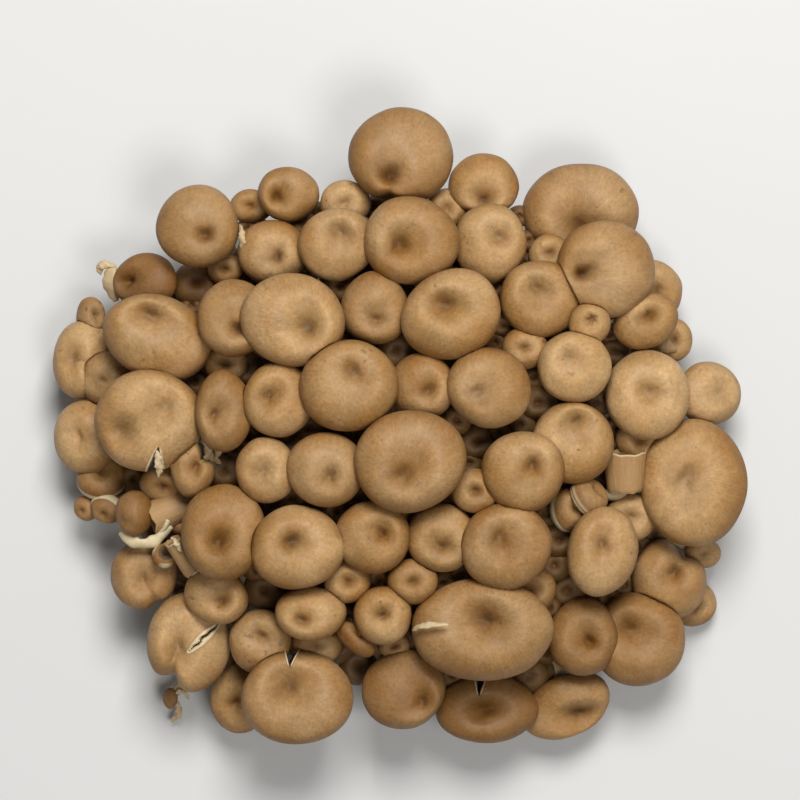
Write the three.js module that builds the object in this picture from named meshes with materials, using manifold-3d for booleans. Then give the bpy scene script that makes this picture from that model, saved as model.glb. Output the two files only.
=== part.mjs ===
// A cluster of brown beech mushrooms, cut off at the root and standing on the cut.
// One pale base carries every stem. The stems fan out from it and bend up under caps that face the sky,
// so that from above the cluster is a close field of rolled-edge caps, each with a hollow eye.
// Millimetres, +Z up. The origin is the middle of the cut face, and +Y is the top of the cluster in plan.

import * as THREE from "three";
import { mergeVertices } from "three/addons/utils/BufferGeometryUtils.js";
import Module from "manifold-3d";

const wasm = await Module();
wasm.setup();

// The cluster as a whole.
const fieldRadius = 75; // plan distance from the middle to the outermost caps
const fieldHeight = 34; // height of a middle cap's widest ring
const fieldDrop = 27; // how much lower that ring lies at fieldRadius
const fieldCurve = 2.3; // how late the field falls away

// The base.
const baseRadius = 29;
const baseHeight = 19;
const baseSides = 18;
const baseLumps = 0.07; // share of the radius that its lumps stand out

// Caps.
const usualRadius = 8;
const usualThickness = 9; // of a cap of usualRadius, as the section's heights count it
const thicknessPower = 0.8; // smaller caps are rounder, larger ones flatter
const eyeDepth = 0.3;
const eyeWidth = 0.33;
const eyeShiftPower = 1.5;
const edgeWave = 0.024; // share of the radius that the outline wanders
const gillRise = 0.06; // share of the thickness by which gills stand up and down round the stem
const sidesPerRadius = 1.2; // an even number of sides, from fewestSides to mostSides
const fewestSides = 10;
const mostSides = 14;
const buttonSides = 6;
const stubSides = 7;
const clearance = 0.3; // between a stem and its cap
const pressedGap = 0.25; // between caps that press on each other
const buttonGrip = 0.6; // how far a button's stem is sunk in its cap

// Stems.
const stemShare = 0.38; // of the cap's radius
const slimmestStem = 1.2;
const stoutestStem = 4.4;
const rootTaper = 0.7; // how thick a stem is at its root, as a share of its thickness under the cap
const stemWaist = 0.12; // how much of it is missing halfway
const leavingShare = 0.3; // of its reach, over which it keeps the direction it has at the root
const arrivingShare = 0.35; // and over which it has the cap's
const stemLift = 0.4; // least room under a stem
const stemSides = 5;
const buttonStemSides = 4;
const stemStep = 13; // about this length between its rings
const mostSteps = 3;
const rootSpread = 78; // degrees from straight up, for the stem of an outermost cap
const spreadPower = 0.9;
const rootDepth = 2; // how far a root is sunk in the base

// Half of a cap's section, and that of a small button, from the middle of its top over the crown and
// round the rolled edge to the stem: share of the radius, share of the thickness.
const capSection = [
  [0, 0.52],
  [0.24, 0.51],
  [0.6, 0.43],
  [0.94, 0.14],
  [1, -0.2],
  [0.78, -0.36],
  [0.44, -0.12],
  [0, -0.12],
];
const buttonSection = [
  [0, 0.52],
  [0.6, 0.43],
  [1, -0.05],
  [0.7, -0.34],
  [0, -0.12],
];
// And of a stub, from its cut end down.
const stubSection = [
  [0, 0.42],
  [0.8, 0.44],
  [1, 0.5],
  [0.92, 0.1],
  [0.78, -0.5],
  [0, -0.5],
];
const gillRing = 6; // the section's point round the stem, to which the gills run up from the rolled edge
const seatShare = capSection[gillRing][0];
const seatHeight = capSection[gillRing][1] - gillRise; // the gills' lowest line round the stem

// Caps that are pieces of their own.
// at: plan place. r: half the length and half the width. turn: degrees, of the length.
// eye: where the hollow sits, in shares of the radius. depth and width: of the hollow.
// lift: above the field. lean: degrees, and towards where. tall: times as thick as its size makes it.
// cleft: where a fold or split runs out to the edge, how deep and how wide.
// dent: a second hollow, its place, depth and width. twin: a second lobe grown together with the cap.
const caps = [
  // Along the top.
  { at: [0.2, 56.3], r: [10.9, 10.1], eye: [-0.23, -0.42], lift: 5, cleft: [-102, 0.14, 12] },
  { at: [17.6, 50.4], r: [7.4, 6.5], eye: [0, -0.45], lift: 0 },
  { at: [-23.5, 48.5], r: [6.5, 5.7], eye: [-0.4, -0.1], lift: 0, depth: 0.42 },
  // Upper right.
  { at: [38.2, 44.7], r: [12.2, 10.5], eye: [-0.03, -0.27], lift: -2 },
  { at: [42.8, 32.6], r: [10.3, 10.1], eye: [-0.48, -0.1], lift: 6, depth: 0.38 },
  { at: [53.6, 28.4], r: [6.6, 6.6], lift: -3, lean: [20, 20], depth: 0.12 },
  { at: [51.5, 21.8], r: [7, 5.6], turn: 25, eye: [0.1, 0.2], lift: 4 },
  { at: [39.5, 21.2], r: [4.4, 4.4], eye: [0.1, 0.2], lift: 4 },
  { at: [36.3, 12.2], r: [7.7, 7.4], eye: [-0.2, 0.3], lift: 2, depth: 0.12 },
  // Right.
  { at: [51.9, 6.3], r: [8.8, 9.4], eye: [0, 0.05], lift: 2, width: 0.45 },
  { at: [65.9, 6.7], r: [6.6, 6.7], lift: 1, lean: [30, 10], depth: 0.12 },
  { at: [61.7, -12.2], r: [11.3, 13.3], eye: [-0.15, 0.1], lift: 5, depth: 0.22, width: 0.4 },
  { at: [36.1, -3.6], r: [8.5, 8.5], eye: [0.1, 0.55], lift: 0 },
  { at: [42.2, -26.3], r: [7.3, 9.4], turn: -12, eye: [-0.03, 0.2], lift: 5 },
  { at: [57.1, -32.6], r: [8, 8.8], eye: [0.1, 0.15], lift: -1, cleft: [60, 0.35, 32] },
  // Along the bottom.
  { at: [50.4, -45.4], r: [10, 9.9], eye: [-0.2, 0.2], lift: 2, depth: 0.4, width: 0.4,
    twin: { at: [38.6, -44.8], r: [7.4, 8.2], eye: [0.15, -0.1], lift: 0, depth: 0.38 } },
  { at: [35.5, -60.3], r: [9.8, 7], turn: 25, eye: [0.3, -0.1], lift: -1, depth: 0.45, width: 0.5,
    lean: [28, -62] },
  { at: [18.3, -60.1], r: [10.8, 7.3], lift: -1, depth: 0.42, width: 0.5, cleft: [97, 0.2, 12] },
  { at: [17.2, -42.6], r: [14.9, 10.5], eye: [0.05, 0.15], lift: 4, depth: 0.42, width: 0.42 },
  { at: [0.8, -55.7], r: [8.9, 8.2], turn: 20, eye: [0.45, -0.3], lift: 0 },
  { at: [-3.6, -39.7], r: [6.1, 6], lift: 1 },
  { at: [-18.7, -39.3], r: [7.4, 5.6], eye: [-0.3, -0.2], lift: 2 },
  { at: [-21.6, -56.9], r: [11.7, 9.8], eye: [-0.15, 0.2], lift: 7, depth: 0.42, width: 0.45,
    lean: [10, 90], cleft: [97, 0.12, 10] },
  { at: [-34.4, -58.6], r: [6.2, 7.5], lift: -3, lean: [15, -120] },
  { at: [-29.4, -45.6], r: [6.5, 6.8], eye: [0.05, 0.2], lift: 0, depth: 0.38 },
  { at: [-44.7, -46], r: [8.9, 10.4], eye: [-0.22, -0.06], lift: 2, cleft: [-117, 0.28, 16] },
  // Left.
  { at: [-38.6, -35.9], r: [6.7, 5.9], turn: -20, eye: [0.2, -0.15], lift: 1 },
  { at: [-36.8, -22.3], r: [8.9, 9.8], eye: [-0.1, -0.2], lift: 4, depth: 0.38, width: 0.42 },
  { at: [-54.2, -31.7], r: [7, 7.3], eye: [0, -0.1], lift: 0 },
  { at: [-43.3, -9.2], r: [4.6, 5.9], eye: [0.15, 0.1], lift: 1, depth: 0.4, cleft: [35, 0.4, 35] },
  { at: [-66.6, -2.5], r: [7.1, 7.8], lift: 0, depth: 0.14, lean: [20, 180] },
  { at: [-52.5, 1], r: [11.2, 10.6], eye: [0.35, 0.3], lift: 5, depth: 0.2, width: 0.4,
    dent: [-0.5, -0.2, 0.3, 0.28], cleft: [-75, 0.15, 10] },
  { at: [-36.8, 2.9], r: [5.9, 8.5], eye: [-0.25, -0.1], lift: 2, depth: 0.38 },
  { at: [-62.2, 9.7], r: [6, 5.8], lift: -1, lean: [15, 200], depth: 0.12 },
  { at: [-67.8, 13.9], r: [6.4, 8.3], lift: 1, lean: [20, 165], depth: 0.12, cleft: [-20, 0.3, 25] },
  { at: [-50.9, 18.5], r: [11.7, 8.6], turn: -20, eye: [-0.15, 0.45], lift: 3, depth: 0.32 },
  { at: [-34.8, 22.3], r: [7.4, 8.1], eye: [0.15, -0.3], lift: 2, depth: 0.38 },
  { at: [-53.8, 30.3], r: [7, 6], eye: [-0.45, 0], lift: 0, lean: [30, 180], depth: 0.4 },
  { at: [-42.4, 41.6], r: [8.6, 8.6], eye: [0.2, -0.22], lift: 6 },
  // The middle.
  { at: [-26.8, 36.2], r: [7.4, 6.8], eye: [0.2, -0.2], lift: -2, lean: [10, 150] },
  { at: [-13.2, 37.8], r: [8.2, 7.4], turn: 20, eye: [0.1, 0.3], lift: 1 },
  { at: [2.2, 38.4], r: [9.8, 9.2], eye: [-0.25, -0.1], lift: 4, depth: 0.38, width: 0.4 },
  { at: [18.9, 38.2], r: [7.6, 8.2], eye: [0.2, 0.1], lift: -1, lean: [8, 60] },
  { at: [29.2, 26.4], r: [8.4, 8], eye: [-0.1, 0.25], lift: 1 },
  { at: [-22.2, 21.8], r: [10.8, 9.6], turn: -15, eye: [0.3, -0.15], lift: 4, depth: 0.36, width: 0.42 },
  { at: [-5.2, 24.2], r: [7, 7.6], eye: [0, -0.3], lift: -1, lean: [6, -60] },
  { at: [10.6, 23], r: [10.4, 9.2], turn: 30, eye: [-0.15, 0.2], lift: 3, depth: 0.38 },
  { at: [-25.4, 5.4], r: [7.4, 7.8], eye: [-0.2, 0.1], lift: 0, lean: [8, 170] },
  { at: [-10.6, 8.2], r: [10.2, 9.4], eye: [0.1, 0.3], lift: 3, width: 0.42 },
  { at: [4.6, 8], r: [6.8, 7], eye: [0.2, -0.1], lift: -2 },
  { at: [18.4, 7.8], r: [8.8, 8.2], turn: -25, eye: [-0.3, -0.1], lift: 2, depth: 0.2 },
  { at: [-28, -9.4], r: [6.4, 6.8], lift: 0, lean: [10, 200] },
  { at: [-15.4, -9.2], r: [8, 7.8], eye: [0.1, -0.2], lift: 1 },
  { at: [2, -7.4], r: [11.6, 10.4], turn: 15, eye: [-0.1, -0.25], lift: 5, depth: 0.4, width: 0.42 },
  { at: [25.6, -9.6], r: [8.6, 8.4], eye: [0.2, 0.15], lift: 2, depth: 0.36 },
  { at: [-21.4, -25.4], r: [9.6, 8.8], eye: [-0.1, 0.15], lift: 3, depth: 0.38 },
  { at: [-5.6, -23.2], r: [7.8, 7.6], eye: [0.25, 0.1], lift: 0 },
  { at: [8.6, -23.6], r: [7.4, 7.2], eye: [0, -0.2], lift: -2, lean: [8, -90] },
  { at: [22, -25], r: [9.4, 9], turn: 20, eye: [-0.15, 0.2], lift: 3, width: 0.4 },
];

// Buttons: young mushrooms in the gaps, of one piece with the stems.
const buttons = [
  { at: [-11.5, 46.6], r: [5.2, 4.9], lift: -2 },
  { at: [9.9, 45.6], r: [4.3, 4.2], lift: -4 },
  { at: [31.5, 36], r: [4.4, 4.2], lift: -3 },
  { at: [58, 18], r: [4, 4.6], lift: -4 },
  { at: [39.6, -14.8], r: [4.4, 4.4], lift: -1, lean: [62, 35] },
  { at: [35.8, -17.6], r: [4.2, 4.7], lift: -4, lean: [35, 20], tall: 1.3 },
  { at: [64.6, -27.4], r: [3.9, 3.2], lift: -3, depth: 0.1 },
  { at: [-9.2, -44.6], r: [4.9, 2.4], turn: -42, lift: 0, lean: [45, 48] },
  { at: [-17.6, -46.6], r: [5.4, 4], lift: -5, depth: 0.1 },
  { at: [-49.4, -27.4], r: [2.7, 2.6], lift: 2, lean: [30, 60] },
  { at: [-56, -18.6], r: [3.9, 4.8], lift: 4, lean: [25, 200], tall: 1.3, depth: 0 },
  { at: [-66.8, -17.8], r: [2.9, 2.7], lift: -1, lean: [30, -150] },
  { at: [-62.2, -17.8], r: [3.6, 3.3], lift: -1, lean: [40, -120] },
  { at: [-63.4, -11], r: [5.4, 5.2], lift: -3, lean: [35, 100] },
  { at: [-49.8, -12.6], r: [5, 3.9], lift: -3, lean: [15, -80] },
  { at: [-65.4, 22.9], r: [3.1, 4.4], lift: 0, lean: [30, 20], tall: 1.2 },
  { at: [-31.5, 46.2], r: [4.5, 3.6], lift: -4 },
  { at: [-36.4, 12.8], r: [4.6, 4], lift: -5 },
  { at: [-45.6, -18.8], r: [4.6, 4.4], lift: -5 },
  { at: [-1.2, -46.4], r: [3.4, 2.8], lift: -5 },
  { at: [-49.1, -58.5], r: [1.6, 2.2], lift: 0, depth: 0 },
  { at: [50.4, -3], r: [5, 4.6], lift: -4 },
  { at: [-42.8, 29.6], r: [5.4, 5], lift: -7 },
  { at: [-36.8, 32.8], r: [3.8, 3.4], lift: -5 },
  { at: [62.6, -31.8], r: [2.7, 2.4], lift: -4 },
  { at: [48.6, -19.4], r: [5.4, 5.2], lift: -3 },
  { at: [62.8, -38.4], r: [5, 4.8], lift: -4 },
  { at: [27.8, -53.4], r: [4, 4], lift: -8, depth: 0.1 },
  { at: [26, 16], r: [4.8, 4.4], lift: -2 },
  { at: [15.6, -13.6], r: [4.9, 4.7], lift: -1 },
  { at: [-11, -32.6], r: [4.8, 4.6], lift: -2 },
  { at: [2.6, -32.6], r: [5.2, 4.8], lift: -1 },
  { at: [27.6, -34.6], r: [5.2, 5], lift: -4 },
];

// Stems that were cut or torn through, with no cap on them: r is that of the end.
const stubs = [
  { at: [47.2, -9.8], r: [4.5, 4.4], lift: -2, lean: [84, 91], tall: 1.5, depth: 0 },
  { at: [-45.8, -27.6], r: [1.9, 1.9], lift: 3, lean: [70, 118], tall: 3, depth: 0 },
  { at: [-47.4, -17.8], r: [3.7, 3.6], lift: -3, lean: [80, 202], tall: 2.4, depth: 0 },
];

const degrees = Math.PI / 180;

// A number from 0 to 1 that is always the same for the same two seeds.
function drawn(seed, which) {
  const wide = Math.sin(seed * 12.9898 + which * 78.233) * 43758.5453;
  return wide - Math.floor(wide);
}

function bell(x, width) {
  return Math.exp(-((x / width) ** 2));
}

// The shortest way round from one direction to another, in degrees.
function turnBetween(a, b) {
  return ((((a - b) % 360) + 540) % 360) - 180;
}

function fieldAt(x, y) {
  return fieldHeight - fieldDrop * (Math.hypot(x, y) / fieldRadius) ** fieldCurve;
}

// A cap's own frame: its place in the cluster and its lean.
function frameOf(cap) {
  const [x, y] = cap.at;
  const [angle, towards] = cap.lean ?? [0, 0];
  const hinge = new THREE.Vector3(-Math.sin(towards * degrees), Math.cos(towards * degrees), 0);
  const frame = new THREE.Matrix4().makeRotationAxis(hinge, angle * degrees);
  return frame.setPosition(x, y, fieldAt(x, y) + cap.lift);
}

function sizeOf(cap) {
  const radius = (cap.r[0] + cap.r[1]) / 2;
  const usual = usualThickness * (radius / usualRadius) ** thicknessPower;
  return { radius, thickness: usual * (cap.tall ?? 1) };
}

// Where a point of the section, turned to a direction, lies on this cap, in the cap's own frame.
function capPoint(cap, seed, share, height, direction) {
  const { radius, thickness } = sizeOf(cap);
  const [eyeX, eyeY] = cap.eye ?? [0, 0];
  const turn = (cap.turn ?? 0) * degrees;
  const around = direction - turn;
  let reach = share;
  for (const lobe of [2, 3, 5]) {
    const phase = drawn(seed, lobe) * 360 * degrees;
    reach *= 1 + edgeWave * (drawn(seed, lobe + 10) - 0.2) * Math.cos(lobe * direction + phase);
  }
  const onTop = height > 0;
  let rise = height;
  if (onTop) rise -= (cap.depth ?? eyeDepth) * bell(share, cap.width ?? eyeWidth);
  if (cap.cleft) {
    const [towards, deep, wide] = cap.cleft;
    const inFold = bell(turnBetween(direction / degrees, towards), wide) * Math.min(1, share * 1.2);
    reach *= 1 - deep * inFold;
    if (onTop) rise -= deep * inFold * 0.6;
  }
  const shift = radius * (1 - share ** eyeShiftPower);
  const along = cap.r[0] * reach * Math.cos(around);
  const across = cap.r[1] * reach * Math.sin(around);
  const x = along * Math.cos(turn) - across * Math.sin(turn) + eyeX * shift;
  const y = along * Math.sin(turn) + across * Math.cos(turn) + eyeY * shift;
  if (cap.dent && onTop) {
    const [dentX, dentY, deep, wide] = cap.dent;
    rise -= deep * bell(Math.hypot(x / radius - dentX, y / radius - dentY), wide);
  }
  return new THREE.Vector3(x, y, rise * thickness);
}

// A cap as a turned section whose points are then moved to their places.
function capGeometry(cap, seed, sides, section = capSection) {
  const points = section.map(([share, height]) => new THREE.Vector2(share, height));
  const geometry = new THREE.LatheGeometry(points, sides);
  const position = geometry.getAttribute("position");
  const frame = frameOf(cap);
  for (let side = 0; side <= sides; side++) {
    for (let ring = 0; ring < section.length; ring++) {
      const [share, height] = section[ring];
      const gill = section === capSection && ring === gillRing ? gillRise * (side % 2 ? 1 : -1) : 0;
      const direction = (-360 * degrees * (side % sides)) / sides;
      const point = capPoint(cap, seed, share, height + gill, direction).applyMatrix4(frame);
      position.setXYZ(side * section.length + ring, point.x, point.y, point.z);
    }
  }
  return bare(geometry);
}

// Only the places of the corners, each once, so that the surface is closed.
function bare(geometry) {
  geometry.deleteAttribute("normal");
  geometry.deleteAttribute("uv");
  return mergeVertices(geometry, 1e-4);
}

// The same surface, moved out by a distance.
function grown(geometry, distance) {
  const larger = geometry.clone();
  larger.computeVertexNormals();
  const position = larger.getAttribute("position");
  const normal = larger.getAttribute("normal");
  for (let i = 0; i < position.count; i++) {
    position.setXYZ(
      i,
      position.getX(i) + normal.getX(i) * distance,
      position.getY(i) + normal.getY(i) * distance,
      position.getZ(i) + normal.getZ(i) * distance,
    );
  }
  larger.deleteAttribute("normal");
  return larger;
}

// A stem from its root in the base to the underside of its cap: a cylinder bent along a curve.
// gap: how far below the cap's seat it ends.
function stemGeometry(cap, gap, sides = stemSides) {
  const { radius, thickness } = sizeOf(cap);
  const frame = frameOf(cap);
  const [eyeX, eyeY] = cap.eye ?? [0, 0];
  const shift = radius * (1 - seatShare ** eyeShiftPower);
  const seat = new THREE.Vector3(eyeX * shift, eyeY * shift, seatHeight * thickness - gap);
  seat.applyMatrix4(frame);
  const axis = new THREE.Vector3().setFromMatrixColumn(frame, 2);
  const stout = Math.min(stoutestStem, Math.max(slimmestStem, stemShare * radius));
  const outward = Math.atan2(cap.at[1], cap.at[0]);
  const spread = rootSpread * degrees * Math.min(1, Math.hypot(...cap.at) / fieldRadius) ** spreadPower;
  const away = new THREE.Vector3(
    Math.sin(spread) * Math.cos(outward),
    Math.sin(spread) * Math.sin(outward),
    Math.cos(spread),
  );
  const root = new THREE.Vector3(
    away.x * (baseRadius - rootDepth),
    away.y * (baseRadius - rootDepth),
    Math.max(stout + stemLift, away.z * (baseHeight - rootDepth)),
  );
  const reach = root.distanceTo(seat);
  const leaving = root.clone().addScaledVector(away, reach * leavingShare);
  const arriving = seat.clone().addScaledVector(axis, -reach * arrivingShare);
  leaving.z = Math.max(leaving.z, stout + stemLift);
  arriving.z = Math.max(arriving.z, Math.min(seat.z - stout / 2, stout + 2 * stemLift));
  const path = new THREE.CubicBezierCurve3(root, leaving, arriving, seat);
  const steps = Math.min(mostSteps, Math.max(1, Math.round(reach / stemStep)));
  const geometry = bare(new THREE.CylinderGeometry(1, 1, 1, sides, steps));
  const position = geometry.getAttribute("position");
  const point = new THREE.Vector3();
  const level = new THREE.Vector3(-Math.sin(outward), Math.cos(outward), 0);
  for (let i = 0; i < position.count; i++) {
    point.fromBufferAttribute(position, i);
    const along = point.y + 0.5;
    const heading = along > 0.99 ? axis : path.getTangentAt(along);
    const side = level.clone().addScaledVector(heading, -level.dot(heading)).normalize();
    const waist = 1 - stemWaist * Math.sin(Math.PI * along);
    const wide = stout * waist * (rootTaper + (1 - rootTaper) * along);
    const place = path.getPointAt(along);
    place.addScaledVector(side, point.z * wide);
    place.addScaledVector(side.cross(heading).negate(), point.x * wide);
    position.setXYZ(i, place.x, place.y, place.z);
  }
  return geometry;
}

// The base: a lumpy dome with a flat cut under it.
function baseGeometry() {
  const section = [
    [0, baseHeight],
    [baseRadius * 0.45, baseHeight * 0.93],
    [baseRadius * 0.8, baseHeight * 0.66],
    [baseRadius, baseHeight * 0.28],
    [baseRadius * 0.92, 0],
    [0, 0],
  ];
  const points = section.map(([share, height]) => new THREE.Vector2(share, height));
  const geometry = new THREE.LatheGeometry(points, baseSides);
  const position = geometry.getAttribute("position");
  for (let side = 0; side <= baseSides; side++) {
    const direction = (-360 * degrees * (side % baseSides)) / baseSides;
    for (let ring = 0; ring < section.length; ring++) {
      const [reach, height] = section[ring];
      const lumps = Math.sin(5 * direction + ring * 0.9) + 0.6 * Math.cos(3 * direction);
      const lump = 1 + baseLumps * lumps;
      position.setXYZ(
        side * section.length + ring,
        reach * lump * Math.cos(direction),
        reach * lump * Math.sin(direction),
        height,
      );
    }
  }
  return bare(geometry);
}

function solidOf(geometry) {
  return new wasm.Manifold(
    new wasm.Mesh({
      numProp: 3,
      vertProperties: new Float32Array(geometry.getAttribute("position").array),
      triVerts: new Uint32Array(geometry.index.array),
    }),
  );
}

// Cutting can leave scraps: only the largest body is kept.
function largestOf(solid) {
  const bodies = solid.decompose();
  return bodies.reduce((best, body) => (body.volume() > best.volume() ? body : best));
}

function meshOf(solid, name, material) {
  const found = solid.getMesh();
  const position = new Float32Array(found.numVert * 3);
  for (let i = 0; i < found.numVert; i++) {
    position.set(found.vertProperties.subarray(i * found.numProp, i * found.numProp + 3), i * 3);
  }
  const geometry = new THREE.BufferGeometry();
  geometry.setAttribute("position", new THREE.BufferAttribute(position, 3));
  geometry.setIndex(new THREE.BufferAttribute(found.triVerts, 1));
  geometry.computeVertexNormals();
  const mesh = new THREE.Mesh(geometry, material);
  mesh.name = name;
  return mesh;
}

const capSkin = new THREE.MeshStandardMaterial({ color: 0xae8a5c, roughness: 0.5, metalness: 0 });
const stemFlesh = new THREE.MeshStandardMaterial({ color: 0xd6c4a4, roughness: 0.65, metalness: 0 });

// Caps are cut back by those that lie higher and press on them.
function makeCaps() {
  const made = caps.map((cap, index) => {
    const wanted = 2 * Math.round((sizeOf(cap).radius * sidesPerRadius) / 2);
    const sides = Math.min(mostSides, Math.max(fewestSides, wanted));
    const seed = index + 1;
    const body = capGeometry(cap, seed, sides);
    let solid = solidOf(body);
    let room = solidOf(grown(body, pressedGap));
    if (cap.twin) {
      const second = capGeometry(cap.twin, seed + 0.5, sides);
      solid = solid.add(solidOf(second));
      room = room.add(solidOf(grown(second, pressedGap)));
    }
    return { cap, solid, room, height: fieldAt(...cap.at) + cap.lift };
  });
  const fromTheTop = [...made].sort((a, b) => b.height - a.height);
  fromTheTop.forEach((lower, rank) => {
    for (const upper of fromTheTop.slice(0, rank)) {
      if (lower.solid.intersect(upper.room).isEmpty()) continue;
      lower.solid = largestOf(lower.solid.subtract(upper.room));
    }
  });
  return made;
}

function makeStems(rooms) {
  const parts = [solidOf(baseGeometry())];
  for (const cap of caps) {
    parts.push(solidOf(stemGeometry(cap, clearance)));
    if (cap.twin) parts.push(solidOf(stemGeometry(cap.twin, clearance)));
  }
  buttons.forEach((button, index) => {
    parts.push(solidOf(stemGeometry(button, -buttonGrip, buttonStemSides)));
    parts.push(solidOf(capGeometry(button, index + 101, buttonSides, buttonSection)));
  });
  stubs.forEach((stub, index) => {
    parts.push(solidOf(stemGeometry(stub, 0)));
    parts.push(solidOf(capGeometry(stub, index + 201, stubSides, stubSection)));
  });
  const joined = wasm.Manifold.union(parts);
  return largestOf(joined.subtract(wasm.Manifold.union(rooms)));
}

const cluster = new THREE.Group();
cluster.name = "beech_mushroom_cluster";
const madeCaps = makeCaps();
madeCaps.forEach(({ solid }, index) => {
  cluster.add(meshOf(solid, "cap_" + String(index + 1).padStart(2, "0"), capSkin));
});
cluster.add(meshOf(makeStems(madeCaps.map(({ room }) => room)), "base_and_stems", stemFlesh));

export default cluster;
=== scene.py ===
import math

import bmesh
import bpy
import numpy as np
from mathutils import Matrix, Vector
from mathutils.kdtree import KDTree


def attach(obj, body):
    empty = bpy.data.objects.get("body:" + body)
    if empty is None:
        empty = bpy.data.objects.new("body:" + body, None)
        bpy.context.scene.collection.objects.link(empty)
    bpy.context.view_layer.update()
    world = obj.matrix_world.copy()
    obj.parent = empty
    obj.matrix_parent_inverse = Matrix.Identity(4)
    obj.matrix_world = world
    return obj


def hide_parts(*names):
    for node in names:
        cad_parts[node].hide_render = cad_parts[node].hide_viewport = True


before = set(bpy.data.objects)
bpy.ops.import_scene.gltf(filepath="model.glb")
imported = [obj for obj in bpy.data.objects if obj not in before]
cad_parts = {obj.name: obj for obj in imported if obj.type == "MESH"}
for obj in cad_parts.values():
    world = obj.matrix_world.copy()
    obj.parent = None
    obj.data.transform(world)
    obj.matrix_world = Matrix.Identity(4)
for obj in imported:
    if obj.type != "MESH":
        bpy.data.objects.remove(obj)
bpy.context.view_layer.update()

mm = 0.001  # the lists below are in millimetres, like the model's own drawing

# the whole bunch: caps lie on a low dome, lift is counted from it
cluster = dict(
    domeRadius=75,
    domeHeight=34,
    domeDrop=27,
    domeCurve=2.3,
)


def row(x, y, halfLength, halfWidth, lift, **more):
    return dict(at=(x, y), r=(halfLength, halfWidth), lift=lift, **more)


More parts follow.
